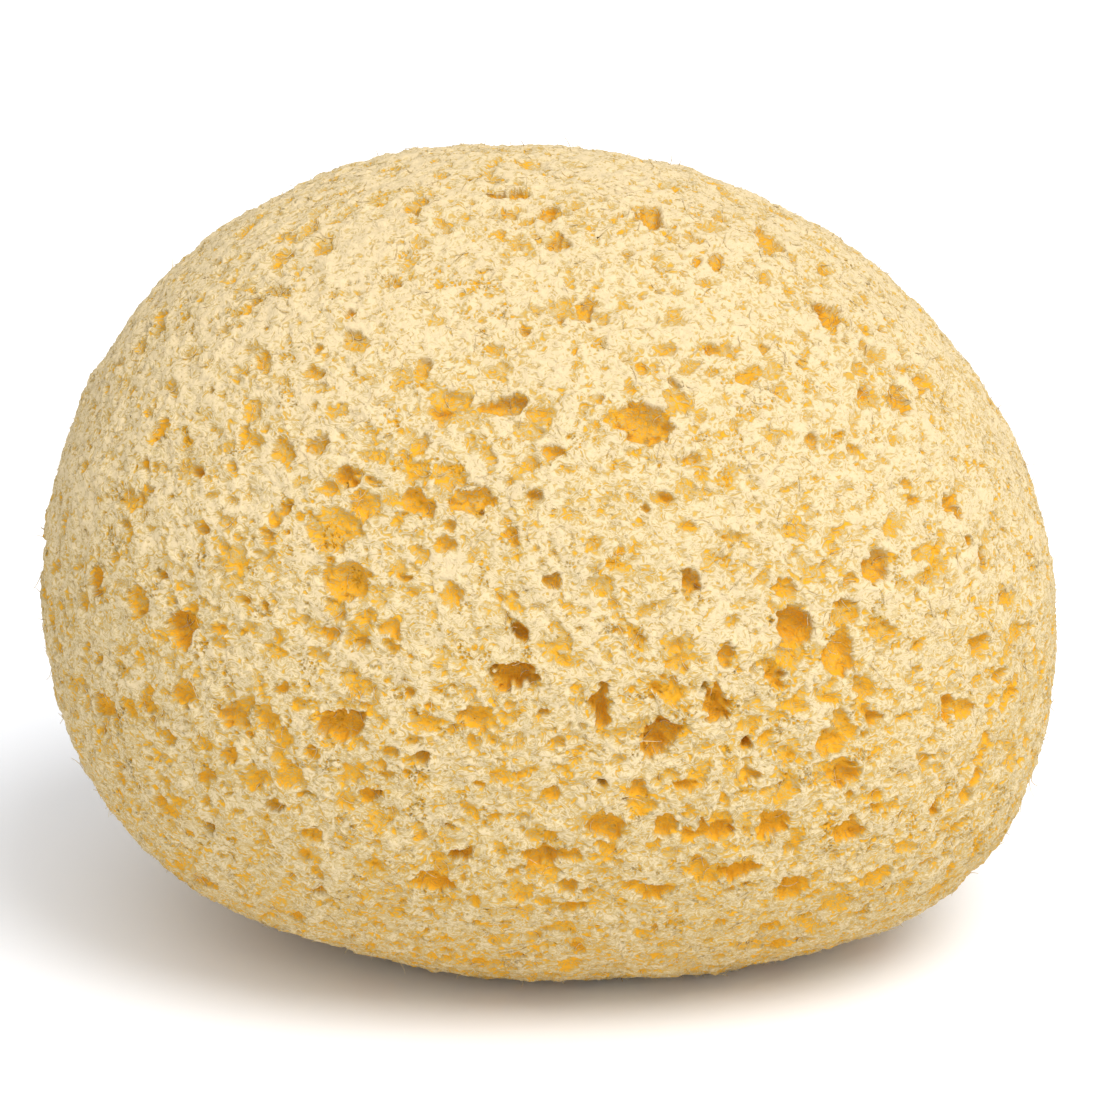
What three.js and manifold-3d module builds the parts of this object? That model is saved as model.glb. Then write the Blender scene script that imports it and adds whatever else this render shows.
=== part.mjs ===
// A trimmed bath sponge: the dry skeleton of a sea sponge, grown as one piece and cut to a smooth bun.
// Millimetres, +Z up. The origin is at the bottom centre of its bounding box, on the flat underside.
// The solid is the sponge's outer skin with its larger pores. The fine web of fibres is not modelled here.
import * as THREE from "three";
import { mergeVertices } from "three/addons/utils/BufferGeometryUtils.js";
import Module from "manifold-3d";

// How far the skin reaches from the sponge's middle, along each axis.
const REACH_LEFT = 78.5;
const REACH_RIGHT = 81;
const REACH_FRONT = 58;
const REACH_BACK = 60;
const REACH_UP = 72.5;
const REACH_DOWN = 56.5;
// 2 is an ellipse. A larger number gives squarer shoulders: seen from above, over the top, under the belt.
const SQUARENESS_PLAN = 2.3;
const SQUARENESS_TOP = 2;
const SQUARENESS_BASE = 2.45;
// The top sits a little left of the base: millimetres sideways for each millimetre up.
const LEAN = -0.07;
// The underside is trimmed flat this far above the lowest point of the round shape.
const TRIM = 3;
const MIDDLE_HEIGHT = REACH_DOWN - TRIM;

// Soft swells (+) and dips (-) left by trimming: [right, back, up] towards the swell, its height,
// and its spread in radians.
const SWELLS = [
  [-0.56, -0.28, -0.78, -1.2, 0.3],
  [0.96, -0.09, -0.26, -0.8, 0.25],
  [0.8, -0.2, -0.56, 1.8, 0.3],
  [-0.95, 0.1, 0.29, -0.8, 0.3],
  [0.5, 0.75, 0.4, 2, 0.45],
  [-0.4, 0.85, -0.1, -2, 0.4],
  [-0.3, 0.55, 0.75, 1.2, 0.35],
];

// How finely the skin and its pores are faceted. Pores wider than WIDE_PORE get the finer facets.
const SKIN_DETAIL = 9;
const WIDE_PORE = 5;

// Pores of the front, set out on an upright sheet through the middle, square to a sight line that comes
// down from the front at SIGHT_ELEVATION, and carried to the skin along lines from a point SIGHT_LENGTH away.
// Each is [across, up, width, height, turn in degrees, depth].
const SIGHT_ELEVATION = 20;
const SIGHT_LENGTH = 750;
// The sheet widens a pore by no more than this on skin that turns away from the sight line.
const LEAST_SEEN_SHARE = 0.4;
// The sight line meets the skin where halving the stretch that holds the crossing has ended.
const HALVINGS = 30;
const FRONT_PORES = [
  // Crown
  [-5.5, 65, 6.5, 2, 0, 3.5],
  [-20.5, 62.5, 4, 2, 0, 3],
  [2, 62.5, 4.5, 3, -35, 3.5],
  [17.5, 62, 4.5, 4, 0, 4.5],
  [3, 57.5, 4, 3, 0, 3],
  [27.5, 54.5, 4.5, 3, 0, 2.5],
  [36, 57.5, 4, 4, 0, 3],
  [7.5, 46.5, 4.5, 4.5, 0, 2.5],
  [45.5, 46.5, 5, 4, 0, 5],
  [27, 40.5, 3.5, 2.5, 0, 3],
  // Upper middle, left to right
  [-63.5, 16.5, 1.5, 3.5, 0, 3],
  [-54.5, 21, 2.5, 2, 0, 3],
  [-53.5, 12, 2, 3, 0, 2.5],
  [-35.5, 25.5, 4.5, 3, 20, 2.5],
  [-30.5, 20.5, 5, 4, 0, 3.5],
  [-33, 12, 8, 7, 0, 2],
  [-19.5, 16, 6.5, 4.5, 0, 2.5],
  [-15.5, 30.5, 4.5, 2, 0, 3.5],
  [-15, 9.5, 4.5, 2.5, 0, 2.5],
  [-11, 16.5, 8, 3.5, 0, 3],
  [-6, 32, 8, 3.5, 0, 3.5],
  [-1, 17.5, 3.5, 2.5, 0, 3.5],
  [2, 24.5, 4.5, 2.5, 0, 3],
  [16.5, 28.5, 9.5, 6.5, 0, 4.5],
  [19.5, 17.5, 3, 2, 0, 3],
  [43, 26, 3, 3, 0, 2.5],
  [51, 33.5, 3, 3, 0, 3.5],
  [57, 32, 2.5, 6, 20, 3],
  [64.5, 16, 3, 4.5, 0, 3.5],
  [67.5, 10, 2, 2.5, 0, 3],
  // Belt
  [-70.5, 3, 2, 6, 0, 3.5],
  [-63.5, 0, 3.5, 4.5, 0, 3],
  [-60, 4.5, 3, 2.5, 0, 2.5],
  [-57, -4, 5, 6.5, 0, 4.5],
  [-30.5, 4, 8, 6, 0, 3],
  [-28, -6, 3, 2, 0, 3],
  [-3.5, -4.5, 4, 4, 0, 5],
  [-4.5, -11, 8.5, 4, 0, 5.5],
  [1.5, 4, 3.5, 3, 0, 3],
  [23.5, 3.5, 4, 4.5, 0, 4.5],
  [29, -8, 3, 4, 0, 3],
  [37, -11.5, 3.5, 4, 0, 3.5],
  [38, 3, 3, 4.5, 0, 2.5],
  [40, -3.5, 6, 6.5, 0, 5.5],
  [48, 0, 4, 3, 0, 2.5],
  [47, -7.5, 5.5, 6.5, 0, 3.5],
  [53, 6, 4.5, 5.5, 0, 3.5],
  [69, -6, 4, 3, 0, 3],
  [70, 6.5, 2, 4.5, 0, 3.5],
  // Below the belt
  [-69, -16.5, 4.5, 4, 0, 2.5],
  [-56.5, -14, 4, 4, 0, 2.5],
  [-49, -18, 4, 4.5, 30, 3],
  [-49, -24, 4, 3, 0, 2.5],
  [-31.5, -18.5, 8, 4.5, 25, 4.5],
  [-19, -24.5, 3, 3, 0, 3.5],
  [-10, -18, 6.5, 4.5, 0, 2.5],
  [9.5, -16, 3, 7, 0, 5],
  [18.5, -21, 7, 5, 35, 5.5],
  [27.5, -16, 4.5, 6, 0, 4.5],
  [32.5, -22, 2, 2.5, 0, 5.5],
  [52.5, -17.5, 4, 3, 0, 3],
  [64.5, -16, 2.5, 5, 0, 3.5],
  [45.5, -21.5, 4.5, 4, 0, 3],
  [48, -27, 6.5, 4, 0, 3.5],
  // Foot
  [-60, -31.5, 3.5, 2.5, 0, 3],
  [-52.5, -35.5, 3, 2, 0, 5],
  [-42, -31.5, 4, 3, 0, 3],
  [-36, -36.5, 3, 2, 0, 2.5],
  [-27, -30, 4, 3, 0, 3],
  [-38.5, -49.5, 3, 2, 0, 2.5],
  [-13, -40, 4, 2, 0, 5],
  [-17, -44, 7, 3, 0, 3.5],
  [0, -40, 6.5, 3, 25, 3.5],
  [4.5, -44.5, 3.5, 2, 0, 3],
  [4.5, -48, 5, 2, 0, 3],
  [9.5, -28, 2, 1.5, 0, 5],
  [10, -35.5, 5.5, 4, 0, 3.5],
  [15, -29.5, 4, 3, 0, 3],
  [18, -45.5, 6.5, 2, 0, 2.5],
  [19.5, -35.5, 4.5, 4, 0, 3],
  [22.5, -28.5, 5, 2, 0, 3],
  [27.5, -35.5, 6.5, 3, 0, 3.5],
  [31, -42, 6.5, 2.5, 0, 3],
  [33, -27, 3, 2.5, 0, 2.5],
  [36.5, -34.5, 5.5, 4, 0, 3.5],
  [39, -45, 5.5, 4, 0, 3.5],
  [48.5, -36, 4.5, 4.5, 0, 3],
  [62, -33, 2, 3, 0, 3],
];

// Pores of the sides, back and underside, scattered at random, always in the same way.
const SEED = 7;
const SCATTERED_PORES = 48;
const SMALLEST_PORE = 3;
const LARGEST_PORE = 8.5;
const LEAST_DEPTH = 2.5;
const MOST_DEPTH = 5;
const WALL_BETWEEN_PORES = 1.5;
// A scattered pore is this much of its width high, and lies within this slope of level.
const LEAST_OVALNESS = 0.55;
const MOST_OVALNESS = 0.95;
const MOST_SLOPE = 0.4;
// Scattered pores keep to skin whose normal leans less than this towards the front sight line.
const MOST_FRONT_SHARE = 0.12;
// No scattered pore opens into the middle of the flat underside, which carries the sponge.
const SOLE_RADIUS = 14;

// The skin's slope is measured over this distance to either side of a point.
const SLOPE_STEP = 0.5;
// The usual constants of a linear congruential generator of 32 bits.
const RANDOM_FACTOR = 1664525;
const RANDOM_STEP = 1013904223;
const RANDOM_RANGE = 2 ** 32;

const SPONGE_FINISH = { color: "#eed096", roughness: 0.95, metalness: 0 };

const wasm = await Module();
wasm.setup();

const MIDDLE = new THREE.Vector3(0, 0, MIDDLE_HEIGHT);
const UP = new THREE.Vector3(0, 0, 1);

function reachTowards(direction) {
  const { x, y, z } = direction;
  const side = x < 0 ? REACH_LEFT : REACH_RIGHT;
  const depth = y < 0 ? REACH_FRONT : REACH_BACK;
  const rise = z < 0 ? REACH_DOWN : REACH_UP;
  const power = z < 0 ? SQUARENESS_BASE : SQUARENESS_TOP;
  const plan = Math.abs(x / side) ** SQUARENESS_PLAN + Math.abs(y / depth) ** SQUARENESS_PLAN;
  const sum = plan ** (power / SQUARENESS_PLAN) + Math.abs(z / rise) ** power;
  const swell = SWELLS.reduce((total, [right, back, up, height, spread]) => {
    const angle = direction.angleTo(new THREE.Vector3(right, back, up));
    return total + height * Math.exp(-((angle / spread) ** 2));
  }, 0);
  return sum ** (-1 / power) + swell;
}

// The point of the untrimmed skin that lies in a direction from the middle, with the lean.
function skinPoint(direction) {
  const point = direction.clone().multiplyScalar(reachTowards(direction));
  point.x += LEAN * point.z;
  return point.add(MIDDLE);
}

// How far a point is from the middle, as a share of the way to the skin: over 1 is outside.
function shareOfReach(point) {
  const upright = point.clone().sub(MIDDLE);
  upright.x -= LEAN * upright.z;
  return upright.length() / reachTowards(upright.clone().normalize());
}

function skinNormal(point) {
  const slope = (axis) => shareOfReach(point.clone().addScaledVector(axis, SLOPE_STEP))
    - shareOfReach(point.clone().addScaledVector(axis, -SLOPE_STEP));
  return new THREE.Vector3(
    slope(new THREE.Vector3(1, 0, 0)),
    slope(new THREE.Vector3(0, 1, 0)),
    slope(UP),
  ).normalize();
}

function solidFrom(geometry) {
  geometry.deleteAttribute("normal");
  geometry.deleteAttribute("uv");
  const merged = mergeVertices(geometry);
  return new wasm.Manifold(new wasm.Mesh({
    numProp: 3,
    vertProperties: merged.attributes.position.array,
    triVerts: new Uint32Array(merged.index.array),
  }));
}

function geometryFrom(solid) {
  const { vertProperties, triVerts } = solid.getMesh();
  const geometry = new THREE.BufferGeometry();
  geometry.setAttribute("position", new THREE.BufferAttribute(vertProperties, 3));
  geometry.setIndex(new THREE.BufferAttribute(triVerts, 1));
  geometry.computeVertexNormals();
  return geometry;
}

function skinSolid() {
  const geometry = new THREE.IcosahedronGeometry(1, SKIN_DETAIL);
  const corners = geometry.attributes.position;
  const direction = new THREE.Vector3();
  for (let i = 0; i < corners.count; i += 1) {
    const point = skinPoint(direction.fromBufferAttribute(corners, i).normalize());
    corners.setXYZ(i, point.x, point.y, point.z);
  }
  return solidFrom(geometry);
}

// A slab that takes away all that lies under the flat underside.
function trimSolid() {
  const side = 4 * REACH_LEFT;
  const thickness = 4 * TRIM;
  return solidFrom(new THREE.BoxGeometry(side, side, thickness).translate(0, 0, -thickness / 2));
}

// Half of this ellipsoid lies under the skin and hollows a pore. Its depth runs along the skin's normal.
function poreSolid({ mouth, inward, across, width, height, depth }) {
  const along = across.clone().addScaledVector(inward, -across.dot(inward)).normalize();
  const upward = new THREE.Vector3().crossVectors(inward, along);
  const place = new THREE.Matrix4().makeBasis(along, upward, inward).setPosition(mouth);
  const round = width > WIDE_PORE || height > WIDE_PORE ? 1 : 0;
  const geometry = new THREE.IcosahedronGeometry(1, round).scale(width / 2, height / 2, depth);
  return solidFrom(geometry.applyMatrix4(place));
}

function frontPore([acrossSheet, upSheet, width, height, turn, depth]) {
  const elevation = THREE.MathUtils.degToRad(SIGHT_ELEVATION);
  const sideways = new THREE.Vector3(1, 0, 0);
  const towardsEye = new THREE.Vector3(0, -Math.cos(elevation), Math.sin(elevation));
  const sheetUp = new THREE.Vector3(0, Math.sin(elevation), Math.cos(elevation));
  const eye = MIDDLE.clone().addScaledVector(towardsEye, SIGHT_LENGTH);
  const onSheet = MIDDLE.clone().addScaledVector(sideways, acrossSheet).addScaledVector(sheetUp, upSheet);
  let outer = 0.5;
  let inner = 1;
  for (let halving = 0; halving < HALVINGS; halving += 1) {
    const share = (outer + inner) / 2;
    if (shareOfReach(eye.clone().lerp(onSheet, share)) > 1) outer = share;
    else inner = share;
  }
  const mouth = eye.clone().lerp(onSheet, inner);
  const outward = skinNormal(mouth);
  const turned = THREE.MathUtils.degToRad(turn);
  const along = sideways.clone().multiplyScalar(Math.cos(turned)).addScaledVector(sheetUp, Math.sin(turned));
  const across = along.clone().addScaledVector(outward, -along.dot(outward)).normalize();
  const upward = new THREE.Vector3().crossVectors(outward, across);
  // The sheet shows a pore narrowed where the skin turns away from the eye, and enlarged where it is nearer.
  const seenShare = (axis) => Math.max(LEAST_SEEN_SHARE, axis.clone().projectOnPlane(towardsEye).length());
  return {
    mouth,
    inward: outward.negate(),
    across,
    width: (width * inner) / seenShare(across),
    height: (height * inner) / seenShare(upward),
    depth,
  };
}

// A small random-number generator, so that the scatter is the same at every build.
function randomFrom(seed) {
  let state = seed;
  return () => {
    state = (state * RANDOM_FACTOR + RANDOM_STEP) % RANDOM_RANGE;
    return state / RANDOM_RANGE;
  };
}

function scatteredPores(placed) {
  const random = randomFrom(SEED);
  const between = (low, high) => low + (high - low) * random();
  const frontFacing = THREE.MathUtils.degToRad(SIGHT_ELEVATION);
  const towardsEye = new THREE.Vector3(0, -Math.cos(frontFacing), Math.sin(frontFacing));
  const pores = [];
  while (pores.length < SCATTERED_PORES) {
    const level = between(-1, 1);
    const bearing = between(0, 2 * Math.PI);
    const round = Math.sqrt(1 - level * level);
    const direction = new THREE.Vector3(round * Math.cos(bearing), round * Math.sin(bearing), level);
    const width = SMALLEST_PORE + (LARGEST_PORE - SMALLEST_PORE) * random() ** 2;
    const height = width * between(LEAST_OVALNESS, MOST_OVALNESS);
    const depth = between(LEAST_DEPTH, MOST_DEPTH);
    const slope = between(-MOST_SLOPE, MOST_SLOPE);
    const across = new THREE.Vector3(between(-1, 1), between(-1, 1), slope).normalize();
    const mouth = skinPoint(direction);
    mouth.z = Math.max(mouth.z, 0);
    const outward = mouth.z > 0 ? skinNormal(mouth) : UP.clone().negate();
    const clear = [...placed, ...pores].every((other) => other.mouth.distanceTo(mouth)
      > (Math.max(other.width, other.height) + width) / 2 + WALL_BETWEEN_PORES);
    const underSole = mouth.z === 0 && Math.hypot(mouth.x, mouth.y) < SOLE_RADIUS;
    const seenInFront = outward.dot(towardsEye) > MOST_FRONT_SHARE;
    if (!clear || underSole || seenInFront) continue;
    pores.push({ mouth, inward: outward.negate(), across, width, height, depth });
  }
  return pores;
}

function spongeSolid() {
  const front = FRONT_PORES.map(frontPore);
  const pores = [...front, ...scatteredPores(front)];
  return pores.reduce(
    (solid, pore) => solid.subtract(poreSolid(pore)),
    skinSolid().subtract(trimSolid()),
  );
}

// Moves the sponge sideways, so that the origin is under the centre of its bounding box.
function centred(geometry) {
  geometry.computeBoundingBox();
  const centre = geometry.boundingBox.getCenter(new THREE.Vector3());
  return geometry.translate(-centre.x, -centre.y, 0);
}

const spongeGeometry = centred(geometryFrom(spongeSolid()));
const sponge = new THREE.Mesh(spongeGeometry, new THREE.MeshStandardMaterial(SPONGE_FINISH));
sponge.name = "sponge";

const part = new THREE.Group();
part.add(sponge);

export default part;
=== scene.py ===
import itertools
import math

import bpy
import numpy as np
from bpy.props import FloatProperty, FloatVectorProperty, IntProperty, PointerProperty
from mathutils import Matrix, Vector
from mathutils.geometry import delaunay_2d_cdt
from mathutils.kdtree import KDTree


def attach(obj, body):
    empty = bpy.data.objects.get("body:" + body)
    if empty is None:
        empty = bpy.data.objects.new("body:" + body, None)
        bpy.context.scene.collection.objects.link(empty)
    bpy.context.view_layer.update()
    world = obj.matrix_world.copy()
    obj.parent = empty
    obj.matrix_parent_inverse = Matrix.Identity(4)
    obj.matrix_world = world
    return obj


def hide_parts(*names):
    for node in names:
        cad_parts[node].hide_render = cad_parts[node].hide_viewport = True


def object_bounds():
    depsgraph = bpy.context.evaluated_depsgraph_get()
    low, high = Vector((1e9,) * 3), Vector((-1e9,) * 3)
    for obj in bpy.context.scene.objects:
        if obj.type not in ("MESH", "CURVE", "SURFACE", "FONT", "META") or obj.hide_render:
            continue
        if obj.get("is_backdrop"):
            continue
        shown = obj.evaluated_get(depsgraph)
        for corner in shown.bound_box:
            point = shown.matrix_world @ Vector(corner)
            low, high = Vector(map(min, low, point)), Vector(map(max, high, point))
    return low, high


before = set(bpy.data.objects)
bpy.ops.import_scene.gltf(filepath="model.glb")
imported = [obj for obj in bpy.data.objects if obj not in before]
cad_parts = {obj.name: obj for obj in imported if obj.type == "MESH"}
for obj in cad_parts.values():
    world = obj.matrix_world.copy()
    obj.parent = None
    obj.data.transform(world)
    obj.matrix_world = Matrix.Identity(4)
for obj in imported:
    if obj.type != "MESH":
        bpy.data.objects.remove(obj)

bl_info = {
    "name": "Sea sponge",
    "version": (1, 0, 0),
    "blender": (4, 5, 0),
    "location": "3D View > Sidebar > Sponge",
    "description": "Builds the fibre web of a trimmed bath sponge and the stage that it stands on",
    "category": "Object",
}

MM = 0.001
BODY = "root"
NODE = "sponge"
LOW, HIGH = (Vector(corner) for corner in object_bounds())
WIDTH = HIGH.x - LOW.x
HEIGHT = HIGH.z - LOW.z
GOLDEN_ANGLE = math.pi * (3 - math.sqrt(5))

# The camera looks down on the front of the sponge through a long lens.
CAMERA_ELEVATION = math.radians(20)
CAMERA_DISTANCE = 4.7 * WIDTH
CAMERA_TARGET = Vector((0, 0, 0.49 * HEIGHT))
CAMERA_SENSOR = 36
CAMERA_LENS = 156.3

# From here on the web is worked out in millimetres, in directions from MIDDLE, well inside the sponge.
MIDDLE = np.array([0.0, 0.0, 0.45 * HEIGHT / MM])
HULL_PLANES = 3000
# What lies further than this under the hull of the CAD sponge is part of a pore.
PORE_UNDER = 0.25

# Half the long side of a small pore: its usual value, how much it varies, and its limits.
SMALL_HALF = 0.64
SMALL_SPREAD = 0.52
SMALL_LEAST = 0.3
SMALL_MOST = 2.6
# No small pore is deeper than this.
SMALL_DEEPEST = 1.8
# Cells lie closer together inside the pores whose short side is more than twice this.
WIDE_PORE = 1.4
# The long side of a small pore mostly lies level.
LEVEL_BIAS = (0.45, 0.45, 1.0)

# How much of its depth a pore keeps in the web.
DEPTH_SHARE = 0.7
# The walls of a pore are steeper the lower WALL_POWER is, and its gold starts more sharply at the edge the
# higher EDGE_SHARPNESS is.
WALL_POWER = 0.55
EDGE_SHARPNESS = 3.5
# How golden the shallowest pores are, and how much more golden the deepest; the extra gold with depth is
# painted shade.
SHALLOW_GOLD = 0.27
DEEP_GOLD = 0.5
# The edge of a pore is ragged by up to half its short side, and by no more than this.
MOST_RAGGED = 0.9

# The web lies this far under the CAD skin before lumps, threads and pores move it.
WEB_UNDER = 0.5
THREAD_WIDTH = 0.22
THREAD_HEIGHT = 0.16
# The usual radius of a cell, and the most that its middle lies under the strands round it.
CELL_RADIUS = 0.35
MOST_DIP = 0.35
# The fibre is more golden below this height, by FLOOR_SHADE_GOLD at the floor, and paler above it: partly
# bleach, partly painted shade below and painted light on top.
BLEACH_AND_SHADE_HEIGHT = 75
FLOOR_SHADE_GOLD = 0.27
MOST_BLEACHED_AND_LIT = -0.6

FIBRE_RINGS = 5
FIBRE_SIDES = 3
FIBRE_RADIUS = 0.1
# The end of a loose fibre stands no further than this off the web.
MOST_LOOSE = 1.6

# Layers of soft noise, each as how strong it is, how wide its lumps are and its seed.
PORE_CROWDS = ((0.7, 14, 12), (0.4, 5, 13))
CELL_CROWDS = ((0.55, 4, 22), (0.45, 1.6, 23))
SKIN_LUMPS = ((0.4, 9, 51), (0.35, 3.6, 52), (0.28, 1.5, 53), (0.12, 0.8, 54))
GOLD_BLOTCHES = ((0.12, 5, 91), (0.1, 1.2, 92))
# How widely each set of threads wanders, and its seed.
THREADS = ((2.6, 71), (1.7, 72), (1.2, 73))


def hex_to_linear(code):
    """An sRGB hex colour as a linear RGBA tuple."""
    channels = [int(code[i:i + 2], 16) / 255 for i in (1, 3, 5)]
    linear = [c / 12.92 if c <= 0.04045 else ((c + 0.055) / 1.055) ** 2.4 for c in channels]
    return (*linear, 1.0)


class SpongeSettings(bpy.types.PropertyGroup):
    """What the fibre web is made from."""

    cells: IntProperty(
        name="Cells",
        description="How many cells the web has",
        default=149000,
        min=1000,
    )
    pieces: IntProperty(
        name="Pieces",
        description="How many meshes the web is shared between",
        default=5,
        min=1,
    )
    front_share: FloatProperty(
        name="Front share",
        description="How much denser the cells lie on the front than on the back",
        default=1.6,
        min=1,
    )
    small_pores: IntProperty(
        name="Small pores",
        description="How many pores are tried between the large ones of the frame",
        default=19000,
        min=0,
    )
    relief: FloatProperty(
        name="Relief",
        description="How deep the middle of a cell usually lies under the strands round it",
        default=0.1 * MM,
        min=0,
        subtype="DISTANCE",
        unit="LENGTH",
    )
    fibres: IntProperty(
        name="Loose fibres",
        description="How many single fibres have worked loose from the web",
        default=3500,
        min=0,
    )
    pale: FloatVectorProperty(
        name="Pale fibre",
        description="Colour of the bleached strands outside",
        default=hex_to_linear("#D9C49B"),
        size=4,
        min=0,
        max=1,
        subtype="COLOR",
    )
    # The deep colour is brightened as a painted glow of light passing through the fibre.
    deep: FloatVectorProperty(
        name="Deep fibre",
        description="Colour of the fibre at the bottom of the pores",
        default=hex_to_linear("#E0A329"),
        size=4,
        min=0,
        max=1,
        subtype="COLOR",
    )


class StageSettings(bpy.types.PropertyGroup):
    """The light on the sponge and the floor under it."""

    key_strength: FloatProperty(
        name="Key",
        description="Strength of the soft light from the upper right, in watts a square metre",
        default=1.85,
        min=0,
    )
    fill_strength: FloatProperty(
        name="Fill",
        description="Strength of the softer light from the front, in watts a square metre",
        default=1.08,
        min=0,
    )
    sky_strength: FloatProperty(
        name="Sky",
        description="Brightness of the even white surroundings",
        default=0.7,
        min=0,
    )
    floor: FloatVectorProperty(
        name="Floor",
        description="Colour of the painted board under the sponge",
        default=hex_to_linear("#F8FAFE"),
        size=4,
        min=0,
        max=1,
        subtype="COLOR",
    )


def unit(vectors):
    """Vectors scaled to a length of one."""
    return vectors / np.linalg.norm(vectors, axis=-1, keepdims=True)


def soft_noise(points, lump, seed):
    """Smooth noise between -1 and 1 at points, with lumps about lump wide."""
    size = 32
    table = np.random.default_rng(seed).uniform(-1, 1, (size, size, size))
    place = points / lump
    corner = np.floor(place).astype(int)
    share = place - corner
    share = share * share * (3 - 2 * share)
    total = np.zeros(len(points))
    for step in itertools.product((0, 1), repeat=3):
        weight = np.prod(np.where(step, share, 1 - share), axis=1)
        x, y, z = ((corner + step) % size).T
        total += weight * table[x, y, z]
    return total


def layered_noise(points, layers):
    """The sum of some layers of soft noise at points."""
    return sum(strength * soft_noise(points, lump, seed) for strength, lump, seed in layers)


def shift_noise(points, lump, seed):
    """Soft noise along each of the three axes at points."""
    return np.stack([soft_noise(points, lump, seed + axis) for axis in range(3)], axis=1)


def point_tree(points):
    """A tree that finds the nearest of points, by number."""
    tree = KDTree(len(points))
    for number, point in enumerate(points):
        tree.insert(point, number)
    tree.balance()
    return tree


def cad_shape():
    """The corners of the CAD sponge, in millimetres, and its triangles."""
    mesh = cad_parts[NODE].data
    mesh.calc_loop_triangles()
    corners = np.empty(3 * len(mesh.vertices))
    mesh.vertices.foreach_get("co", corners)
    triangles = np.empty(3 * len(mesh.loop_triangles), int)
    mesh.loop_triangles.foreach_get("vertices", triangles)
    corners, merged = np.unique(corners.reshape(-1, 3).round(6), axis=0, return_inverse=True)
    return corners / MM, merged.reshape(-1)[triangles].reshape(-1, 3)


def even_directions(count):
    """Directions spread evenly over the sphere, in a spiral from pole to pole."""
    index = np.arange(count) + 0.5
    level = 1 - 2 * index / count
    ring = np.sqrt(1 - level**2)
    turn = GOLDEN_ANGLE * index
    return np.stack([ring * np.cos(turn), ring * np.sin(turn), level], axis=1)


def hull_planes(corners):
    """Planes laid against corners from all sides, as outward normals and distances from MIDDLE."""
    normals = np.concatenate([even_directions(HULL_PLANES), [(0, 0, -1)]])
    return normals, (normals @ (corners - MIDDLE).T).max(axis=1)


def reach(directions, planes):
    """How far the hull lies from MIDDLE in each direction."""
    normals, distances = planes
    steepness = (normals / distances[:, None]).T.astype(np.float32)
    parts = np.array_split(directions.astype(np.float32), max(1, len(directions) // 4000))
    return 1 / np.concatenate([(part @ steepness).max(axis=1) for part in parts]).astype(float)


def cad_pores(corners, triangles, planes):
    """The pores of the CAD sponge, found as the patches of triangles that lie under its hull."""
    normals, distances = planes
    under = np.concatenate([
        (distances - part @ normals.T).min(axis=1) for part in np.array_split(corners - MIDDLE, 8)
    ])
    sunk = triangles[(under[triangles] > PORE_UNDER).any(axis=1)]
    # Triangles of one patch come to share the lowest number of its corners.
    group = np.arange(len(corners))
    while True:
        lowest = group[sunk].min(axis=1)
        joined = group.copy()
        for column in range(3):
            np.minimum.at(joined, sunk[:, column], lowest)
        if (joined == group).all():
            break
        group = joined
    pores = []
    for name in np.unique(group[sunk]):
        members = np.unique(sunk[group[sunk[:, 0]] == name])
        rim = corners[members[under[members] < PORE_UNDER]]
        if len(rim) < 4:
            continue
        centre = rim.mean(axis=0)
        _, _, axes = np.linalg.svd(rim - centre)
        half = np.abs((rim - centre) @ axes.T).max(axis=0)
        pores.append((centre, axes[0], axes[1], half[0], half[1], under[members].max()))
    return pores


def small_pores(count, planes):
    """Pores too small for the CAD sponge: most are about a millimetre wide, and a few are five."""
    random = np.random.default_rng(11)
    directions = unit(random.normal(size=(count, 3)))
    centres = MIDDLE + directions * reach(directions, planes)[:, None]
    kept = random.random(count) < 0.75 + 0.4 * layered_noise(centres, PORE_CROWDS)
    across = unit(np.cross(directions, random.normal(size=(count, 3)) * LEVEL_BIAS))
    along = np.cross(directions, across)
    half = np.clip(SMALL_HALF * np.exp(SMALL_SPREAD * random.normal(size=count)), SMALL_LEAST, SMALL_MOST)
    narrow = half * random.uniform(0.4, 0.9, count)
    steepness = np.clip(0.9 * np.exp(0.5 * random.normal(size=count)), 0.35, 2.5)
    depth = np.minimum(narrow * steepness, SMALL_DEEPEST)
    rows = zip(centres, across, along, half, narrow, depth)
    return [row for row, stays in zip(rows, kept) if stays]


def cell_directions(settings, planes, pores):
    """A direction from MIDDLE for each cell, closer together in front and inside the large pores."""
    random = np.random.default_rng(21)
    # More directions are tried than there are cells, and fewer are kept where the cells are wide.
    count = int(2.4 * settings.cells)
    spacing = math.sqrt(4 * math.pi / count)
    directions = unit(even_directions(count) + random.normal(0, 0.3 * spacing, (count, 3)))
    far = reach(directions, planes)
    points = MIDDLE + directions * far[:, None]
    front = np.clip(0.5 - 0.9 * directions[:, 1], 0, 1)
    density = far**2 * (1 + (settings.front_share - 1) * front)
    density *= np.exp(layered_noise(points, CELL_CROWDS))
    tree = point_tree(points)
    for centre, _, _, half, narrow, depth in pores:
        if narrow > WIDE_PORE:
            inside = [number for _, number, _ in tree.find_range(centre, half)]
            density[inside] *= 1 + 0.4 * depth / narrow
    share = settings.cells * density / density.sum()
    return directions[random.random(count) < share]


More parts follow.
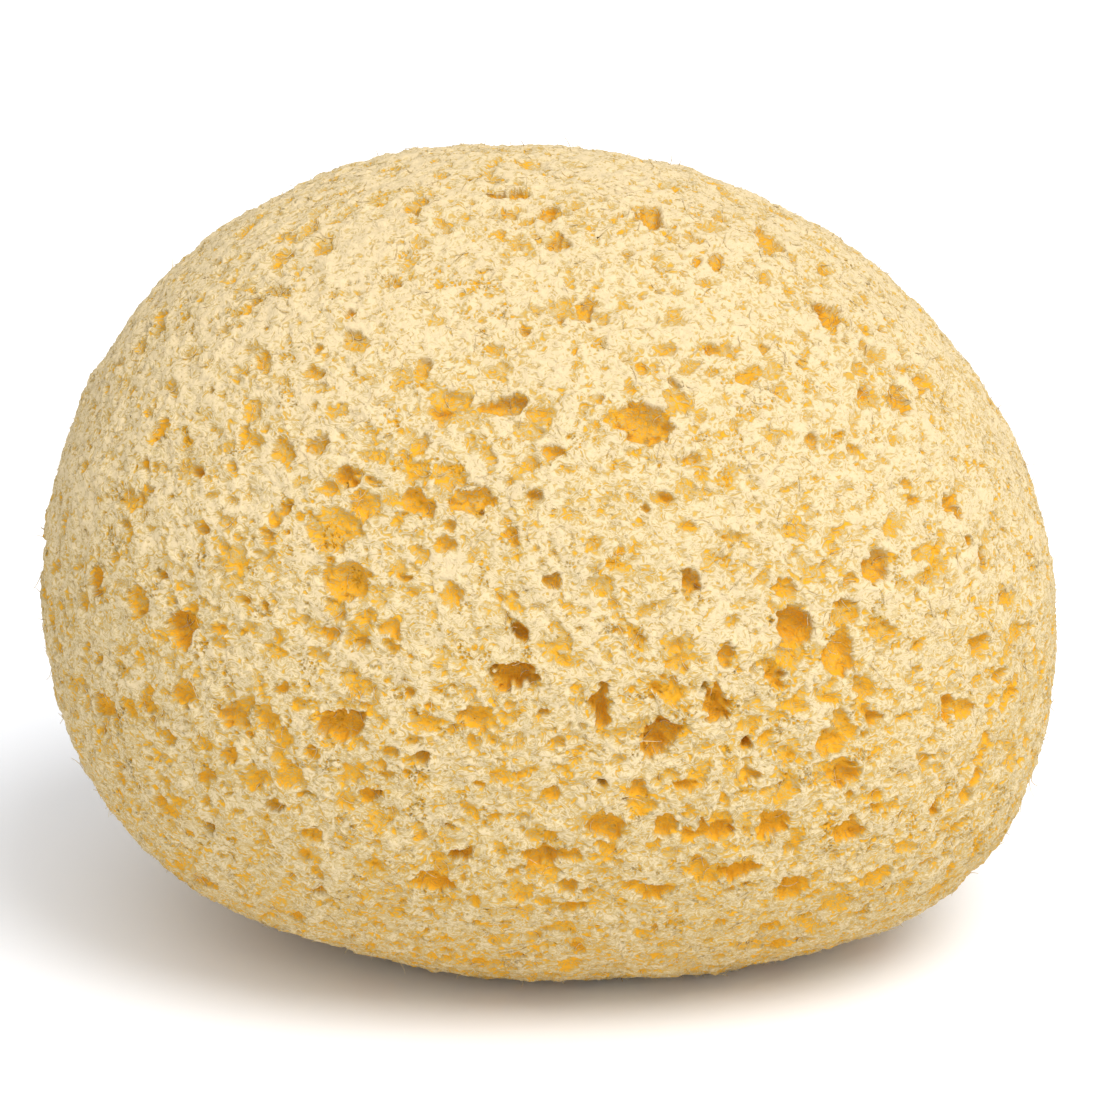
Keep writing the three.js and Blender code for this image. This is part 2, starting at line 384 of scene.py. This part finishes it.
def sphere_triangles(directions):
    """The Delaunay triangles of directions, facing out, made on two flat maps that overlap."""
    found = []
    for side in (1, -1):
        shown = np.flatnonzero(side * directions[:, 2] > -0.2)
        flat = directions[shown, :2] / (1 + side * directions[shown, 2:])
        made = delaunay_2d_cdt([Vector(point) for point in flat.tolist()], [], [], 0, 1e-9, False)
        if len(made[0]) != len(shown):
            raise RuntimeError("two cells of the sponge fell on one point")
        triangles = np.sort(shown[np.array(made[2])], axis=1)
        level = directions[triangles, 2].sum(axis=1)
        found.append(triangles[level >= 0 if side > 0 else level < 0])
    triangles = np.concatenate(found)
    a, b, c = (directions[triangles[:, k]] for k in range(3))
    inward = np.einsum("ij,ij->i", a, np.cross(b, c)) < 0
    triangles[inward] = triangles[inward][:, ::-1]
    return triangles


def opposite_edges(triangles, count):
    """The number of each directed edge's twin, where edges are numbered 3 x triangle + corner."""
    start = triangles.ravel()
    end = np.roll(triangles, -1, axis=1).ravel()
    forward = start * count + end
    order = np.argsort(forward)
    twin = order[np.searchsorted(forward[order], end * count + start)]
    if (start[twin] != end).any():
        raise RuntimeError("the cells of the sponge don't close round it")
    return twin


def neighbour_mean(values, triangles, rounds):
    """Values at the cells, each averaged with its neighbours, over and over."""
    start = np.concatenate([triangles[:, k] for k in range(3)])
    end = np.concatenate([triangles[:, (k + 1) % 3] for k in range(3)])
    number = np.bincount(start, minlength=len(values))
    for _ in range(rounds):
        values = 0.5 * values + 0.5 * np.bincount(start, values[end], minlength=len(values)) / number
    return values


def skin(directions, triangles, planes):
    """Points of the smooth skin at the cells, and its outward normals."""
    far = neighbour_mean(reach(directions, planes), triangles, rounds=24)
    points = MIDDLE + directions * far[:, None]
    points[:, 2] = np.maximum(points[:, 2], 0)
    a, b, c = (points[triangles[:, k]] for k in range(3))
    facing = np.cross(b - a, c - a)
    normals = np.zeros_like(points)
    for corner in range(3):
        np.add.at(normals, triangles[:, corner], facing)
    smooth = [neighbour_mean(column, triangles, rounds=6) for column in normals.T]
    return points, unit(np.stack(smooth, axis=1))


def sink_pores(points, pores):
    """How far the pores, with their ragged edges, sink each point, and how golden they leave it: partly
    unbleached fibre, partly painted shade.
    """
    warp = shift_noise(points, 2.2, 41) + shift_noise(points, 0.9, 46)
    tree = point_tree(points)
    depth = np.zeros(len(points))
    gold = np.zeros(len(points))
    for centre, across, along, half, narrow, sunk in pores:
        near = np.array([number for _, number, _ in tree.find_range(centre, 1.6 * half)], int)
        if not len(near):
            continue
        offset = points[near] + min(0.5 * narrow, MOST_RAGGED) * warp[near] - centre
        ring = np.sqrt((offset @ across / half) ** 2 + (offset @ along / narrow) ** 2)
        bowl = np.clip(1 - ring**2, 0, 1) ** WALL_POWER
        depth[near] = np.maximum(depth[near], DEPTH_SHARE * bowl * sunk)
        # Painted shade: the gold grows with the depth of a pore and with how narrow it is, as the shade in
        # the hollow.
        gold_and_shade = SHALLOW_GOLD + DEEP_GOLD * (1 - math.exp(-0.9 * sunk))
        gold_and_shade *= 0.7 + 0.3 * min(1, sunk / narrow)
        gold[near] = np.maximum(gold[near], gold_and_shade * np.clip(EDGE_SHARPNESS * bowl, 0, 1))
    return depth, gold


def pale_threads(places, depth):
    """How much of a pale thread lies at each place. Threads wander over the skin and end in the pores."""
    bent = places + 0.8 * shift_noise(places, 2.5, 60)
    threads = np.zeros(len(places))
    for lump, seed in THREADS:
        wander = soft_noise(bent, lump, seed)
        threads = np.maximum(threads, np.exp(-((wander * lump / THREAD_WIDTH) ** 2)))
    return threads * (0.5 + 0.5 * soft_noise(places, 4, 74)) / (1 + depth)


def cell_floors(points, triangles, rim, depth, relief, random):
    """How far the middle of each cell lies under the strands round it, and how much more golden it is
    painted as shade in its hollow.
    """
    count = len(points)
    spread = np.linalg.norm(rim[:, None] - points[triangles], axis=2)
    radius = np.bincount(triangles.ravel(), spread.ravel(), count)
    radius /= np.bincount(triangles.ravel(), minlength=count)
    dip = relief * np.clip(radius / CELL_RADIUS, 0.5, 2) * random.gamma(1.6, 0.5, count)
    dip = np.clip(dip, 0, MOST_DIP)
    # Here and there a cluster of cells is open, and the floors of pores are stippled with darker cells.
    cluster = np.clip((soft_noise(points, 3.2, 81) - 0.47) / 0.15, 0, 1) * (random.random(count) < 0.6)
    stipple = np.clip(depth / 2, 0, 1) * random.random(count) ** 2
    # The gold added to dipped, open and stippled cells is painted shade in their hollows.
    return dip + 0.32 * cluster + 0.15 * stipple, 1.1 * dip + 0.9 * cluster + 0.35 * stipple


def web_shape(settings):
    """The web, the directions of its faces and the loose fibres. The web and the fibres are each given as
    corners in millimetres, faces and how golden each corner is."""
    corners, cad_triangles = cad_shape()
    planes = hull_planes(corners)
    large = cad_pores(corners, cad_triangles, planes)
    pores = large + small_pores(settings.small_pores, planes)
    directions = cell_directions(settings, planes, large)
    triangles = sphere_triangles(directions)
    points, normals = skin(directions, triangles, planes)

    # Strands meet over the middle of each triangle of cells. A cell is a fan of faces round its own middle.
    rim = points[triangles].mean(axis=1)
    joints = len(rim)
    places = np.concatenate([rim, points])
    facing = np.concatenate([unit(normals[triangles].mean(axis=1)), normals])
    random = np.random.default_rng(31)
    depth, gold = sink_pores(places, pores)
    threads = pale_threads(places, depth)
    height = layered_noise(places, SKIN_LUMPS) - WEB_UNDER - depth + THREAD_HEIGHT * threads
    height[:joints] += random.normal(0, 0.05, joints)
    under, dip_shade_gold = cell_floors(points, triangles, rim, depth[joints:], settings.relief / MM, random)
    height[joints:] -= under
    gold[joints:] += dip_shade_gold
    gold += 0.2 - 0.2 * threads + layered_noise(places, GOLD_BLOTCHES)
    # Painted shade and light, with some bleach: more golden and darker towards the floor, paler towards the
    # top.
    gold += FLOOR_SHADE_GOLD * np.clip(1 - places[:, 2] / BLEACH_AND_SHADE_HEIGHT, MOST_BLEACHED_AND_LIT, 1)

    web = places + facing * height[:, None]
    web[:, 2] = np.maximum(web[:, 2], 0)
    twin = opposite_edges(triangles, len(directions))
    home = np.repeat(np.arange(joints), 3)
    owner = triangles.ravel()
    faces = np.stack([joints + owner, home[twin], home], axis=1)
    fibres = loose_fibres(settings.fibres, places, facing, height)
    return (web, faces, gold), directions[owner], fibres


def loose_fibres(count, places, facing, height):
    """Single fibres that lie on the web and stand off it at one end, as corners, faces and gold."""
    random = np.random.default_rng(101)
    root = random.integers(len(places), size=count)
    up = facing[root]
    ahead = unit(np.cross(up, random.normal(size=(count, 3))))
    aside = np.cross(up, ahead)
    share = np.linspace(0, 1, FIBRE_RINGS)
    heading = random.uniform(-2, 2, (count, 1)) * share
    step = random.uniform(1.2, 3.6, (count, 1)) / (FIBRE_RINGS - 1)
    forth = np.cumsum(step * np.cos(heading), axis=1)
    over = np.cumsum(step * np.sin(heading), axis=1)
    flat = places[root, None] + forth[..., None] * ahead[:, None] + over[..., None] * aside[:, None]
    tree = point_tree(places)
    under = np.array([tree.find(place)[1] for place in flat.reshape(-1, 3)]).reshape(count, -1)
    ground = np.maximum(height[under], height[root, None] - 0.6)
    ground[:, 1:-1] = (ground[:, :-2] + ground[:, 1:-1] + ground[:, 2:]) / 3
    loose = np.minimum(random.gamma(1.5, 0.3, (count, 1)), MOST_LOOSE)
    line = flat + (ground + loose * share**2 - FIBRE_RADIUS / 2)[..., None] * up[:, None]
    along = np.cos(heading)[..., None] * ahead[:, None] + np.sin(heading)[..., None] * aside[:, None]
    side = np.cross(up[:, None], along)
    thick = (FIBRE_RADIUS * (1 - 0.6 * share))[None, :, None]
    tube = []
    for turn in np.arange(FIBRE_SIDES) * 2 * math.pi / FIBRE_SIDES:
        tube.append(line + thick * (math.cos(turn) * up[:, None] + math.sin(turn) * side))
    corners = np.stack(tube, axis=2).reshape(-1, 3)
    corners[:, 2] = np.maximum(corners[:, 2], 0)
    size = FIBRE_RINGS * FIBRE_SIDES
    one = []
    for ring, edge in itertools.product(range(FIBRE_RINGS - 1), range(FIBRE_SIDES)):
        a = FIBRE_SIDES * ring + edge
        b = FIBRE_SIDES * ring + (edge + 1) % FIBRE_SIDES
        one += [(a, a + FIBRE_SIDES, b), (b, a + FIBRE_SIDES, b + FIBRE_SIDES)]
    one += [(0, 1, 2), (size - 1, size - 2, size - 3)]
    faces = (np.array(one) + size * np.arange(count)[:, None, None]).reshape(-1, 3)
    gold = np.repeat(0.1 + random.uniform(0, 0.15, count), size)
    return corners, faces, gold


def web_mesh(name, corners, faces, gold):
    """A smooth-shaded mesh that stores how golden it is at its corners."""
    used, renumbered = np.unique(faces, return_inverse=True)
    mesh = bpy.data.meshes.new(name)
    mesh.vertices.add(len(used))
    mesh.vertices.foreach_set("co", (corners[used] * MM).ravel())
    mesh.loops.add(faces.size)
    mesh.loops.foreach_set("vertex_index", renumbered.ravel())
    mesh.polygons.add(len(faces))
    mesh.polygons.foreach_set("loop_start", np.arange(0, faces.size, 3))
    mesh.polygons.foreach_set("use_smooth", np.ones(len(faces), bool))
    layer = mesh.attributes.new("gold", "FLOAT", "POINT")
    layer.data.foreach_set("value", gold[used].astype(np.float32))
    mesh.update()
    mesh.validate()
    piece = bpy.data.objects.new(name, mesh)
    bpy.context.scene.collection.objects.link(piece)
    return piece


def add_node(tree, kind, settings=None, links=None):
    """Adds a node, sets its properties and sockets, and links sockets of other nodes to it. The keys are
    names of properties or sockets, or numbers of sockets."""
    node = tree.nodes.new(kind)
    for key, value in (settings or {}).items():
        if isinstance(key, int) or key in node.inputs:
            node.inputs[key].default_value = value
        else:
            setattr(node, key, value)
    for key, socket in (links or {}).items():
        tree.links.new(socket, node.inputs[key])
    return node


def colour_ramp(tree, factor, stops):
    """A ramp through linear colours at places from 0 to 1."""
    node = add_node(tree, "ShaderNodeValToRGB", links={"Fac": factor})
    ramp = node.color_ramp
    for place, _ in stops[1:-1]:
        ramp.elements.new(place)
    for element, (place, colour) in zip(ramp.elements, stops):
        element.position = place
        element.color = colour
    return node.outputs["Color"]


def spongin_material(pale, deep):
    """Dry spongin fibre, bleached and trimmed with scissors: dull and cream outside, and golden in the
    pores, where the bleach never reached; part of that gold is painted shade, deeper in deep and narrow
    hollows, and the deepest gold is brightened as a painted glow of light passing through the fibre."""
    material = bpy.data.materials.new("spongin fibre, bleached and trimmed")
    material.use_nodes = True
    tree = material.node_tree
    shader = tree.nodes["Principled BSDF"]
    place = add_node(tree, "ShaderNodeTexCoord").outputs["Object"]
    gold = add_node(tree, "ShaderNodeAttribute", {"attribute_name": "gold"}).outputs["Fac"]
    # The strands run round the sponge rather than up it.
    lying = add_node(tree, "ShaderNodeMapping", {"Scale": (1, 1, 1.4)}, {"Vector": place}).outputs["Vector"]
    # Real fibres are a few hundredths of a millimetre thick, too fine to show. They are drawn as coarser
    # strands, a third of a millimetre thick, that curl over gold gaps and stand a little proud of them.
    strands = add_node(tree, "ShaderNodeTexNoise", {
        "noise_type": "RIDGED_MULTIFRACTAL",
        "normalize": False,
        "Scale": 1 / (1.5 * MM),
        "Detail": 2.0,
        "Roughness": 0.9,
        "Lacunarity": 1.6,
        "Distortion": 1.5,
        "Gain": 2.0,
        "Offset": 1.0,
    }, {"Vector": lying}).outputs[0]
    gaps = add_node(tree, "ShaderNodeMath", {"operation": "MULTIPLY_ADD", 1: -0.46, 2: 0.7}, {0: strands})
    gold_and_shade = add_node(tree, "ShaderNodeMath", {"operation": "ADD"}, {0: gold, 1: gaps.outputs[0]})
    # The ramp runs from pale fibre to pore gold; gold that deepens in hollows is painted shade, and the
    # deep end is a painted glow.
    colour = colour_ramp(tree, gold_and_shade.outputs[0], [
        (0.0, pale),
        (0.2, hex_to_linear("#CCB889")),
        (0.4, hex_to_linear("#C2A875")),
        (0.6, hex_to_linear("#C5A359")),
        (0.8, hex_to_linear("#CE9F3E")),
        (1.0, deep),
    ])
    bump = add_node(tree, "ShaderNodeBump", {"Strength": 0.5, "Distance": 0.12 * MM}, {"Height": strands})
    tree.links.new(colour, shader.inputs["Base Color"])
    tree.links.new(bump.outputs["Normal"], shader.inputs["Normal"])
    shader.inputs["Roughness"].default_value = 0.9
    shader.inputs["IOR"].default_value = 1.45
    shader.inputs["Specular IOR Level"].default_value = 0.2
    return material


class SPONGE_OT_web(bpy.types.Operator):
    """Build the fibre web with all of its pores, in a few meshes that share one material"""

    bl_idname = "sponge.web"
    bl_label = "Fibre web"

    def execute(self, context):
        settings = context.scene.sponge_settings
        (corners, faces, gold), directions, fibres = web_shape(settings)
        material = spongin_material(settings.pale, settings.deep)
        bearing = np.arctan2(directions[:, 1], directions[:, 0]) / (2 * math.pi) + 0.5
        edges = np.quantile(bearing, np.linspace(0, 1, settings.pieces + 1))
        sector = np.clip(np.searchsorted(edges, bearing, side="right") - 1, 0, settings.pieces - 1)
        made = []
        for number in range(settings.pieces):
            made.append(web_mesh(f"web_{number + 1}", corners, faces[sector == number], gold))
        made.append(web_mesh("loose_fibres", *fibres))
        for piece in made:
            piece.data.materials.append(material)
            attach(piece, BODY)
            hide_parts(NODE)
        return {"FINISHED"}


def floor_material(colour):
    """Board painted white and rolled smooth: satin, even, and pale enough to show a soft shadow."""
    material = bpy.data.materials.new("white painted board")
    material.use_nodes = True
    shader = material.node_tree.nodes["Principled BSDF"]
    shader.inputs["Base Color"].default_value = colour
    shader.inputs["Roughness"].default_value = 0.7
    return material


def add_floor(colour):
    """A wide floor under the sponge."""
    half = 12 * WIDTH
    mesh = bpy.data.meshes.new("floor")
    corners = [(-half, -half, 0), (half, -half, 0), (half, half, 0), (-half, half, 0)]
    mesh.from_pydata(corners, [], [(0, 1, 2, 3)])
    floor = bpy.data.objects.new("floor", mesh)
    floor.data.materials.append(floor_material(colour))
    bpy.context.scene.collection.objects.link(floor)
    floor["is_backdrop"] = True


def add_camera():
    """The camera, a little above the sponge and looking down on its front."""
    data = bpy.data.cameras.new("camera")
    data.sensor_width = CAMERA_SENSOR
    data.lens = CAMERA_LENS
    camera = bpy.data.objects.new("camera", data)
    bpy.context.scene.collection.objects.link(camera)
    back = Vector((0, -math.cos(CAMERA_ELEVATION), math.sin(CAMERA_ELEVATION)))
    camera.location = CAMERA_TARGET + CAMERA_DISTANCE * back
    camera.rotation_euler = (-back).to_track_quat("-Z", "Y").to_euler()
    bpy.context.scene.camera = camera


def add_soft_light(name, bearing, elevation, strength, spread):
    """A far soft light, from a bearing counted from the front to the right, all angles in degrees."""
    data = bpy.data.lights.new(name, "SUN")
    data.energy = strength
    data.angle = math.radians(spread)
    lamp = bpy.data.objects.new(name, data)
    turn, tilt = math.radians(bearing), math.radians(elevation)
    lamp.location = 4 * WIDTH * Vector((
        math.sin(turn) * math.cos(tilt), -math.cos(turn) * math.cos(tilt), math.sin(tilt),
    ))
    lamp.rotation_euler = (-lamp.location).to_track_quat("-Z", "Y").to_euler()
    bpy.context.scene.collection.objects.link(lamp)


def add_sky(strength):
    """Even white surroundings."""
    world = bpy.data.worlds.new("white studio")
    world.use_nodes = True
    background = world.node_tree.nodes["Background"]
    background.inputs["Color"].default_value = (1, 1, 1, 1)
    background.inputs["Strength"].default_value = strength
    bpy.context.scene.world = world


class SPONGE_OT_stage(bpy.types.Operator):
    """Set up the camera, the floor and a soft studio light"""

    bl_idname = "sponge.stage"
    bl_label = "Stage"

    def execute(self, context):
        settings = context.scene.stage_settings
        add_camera()
        add_floor(settings.floor)
        add_sky(settings.sky_strength)
        add_soft_light("key", bearing=46, elevation=56, strength=settings.key_strength, spread=35)
        add_soft_light("fill", bearing=16, elevation=42, strength=settings.fill_strength, spread=60)
        context.scene.view_settings.view_transform = "Standard"
        return {"FINISHED"}


class SPONGE_PT_panel(bpy.types.Panel):
    """Lists the operators that build the sponge"""

    bl_idname = "SPONGE_PT_panel"
    bl_label = "Sea sponge"
    bl_space_type = "VIEW_3D"
    bl_region_type = "UI"
    bl_category = "Sponge"

    def draw(self, context):
        for made in OPERATORS:
            self.layout.operator(made.bl_idname)
        for group in (context.scene.sponge_settings, context.scene.stage_settings):
            for name in group.__annotations__:
                self.layout.prop(group, name)


OPERATORS = (SPONGE_OT_stage, SPONGE_OT_web)
CLASSES = (SpongeSettings, StageSettings, *OPERATORS, SPONGE_PT_panel)


def register():
    for made in CLASSES:
        bpy.utils.register_class(made)
    bpy.types.Scene.sponge_settings = PointerProperty(type=SpongeSettings)
    bpy.types.Scene.stage_settings = PointerProperty(type=StageSettings)


def unregister():
    del bpy.types.Scene.stage_settings
    del bpy.types.Scene.sponge_settings
    for made in reversed(CLASSES):
        bpy.utils.unregister_class(made)


def main():
    register()
    bpy.ops.sponge.stage()
    bpy.ops.sponge.web()


if __name__ == "__main__":
    main()
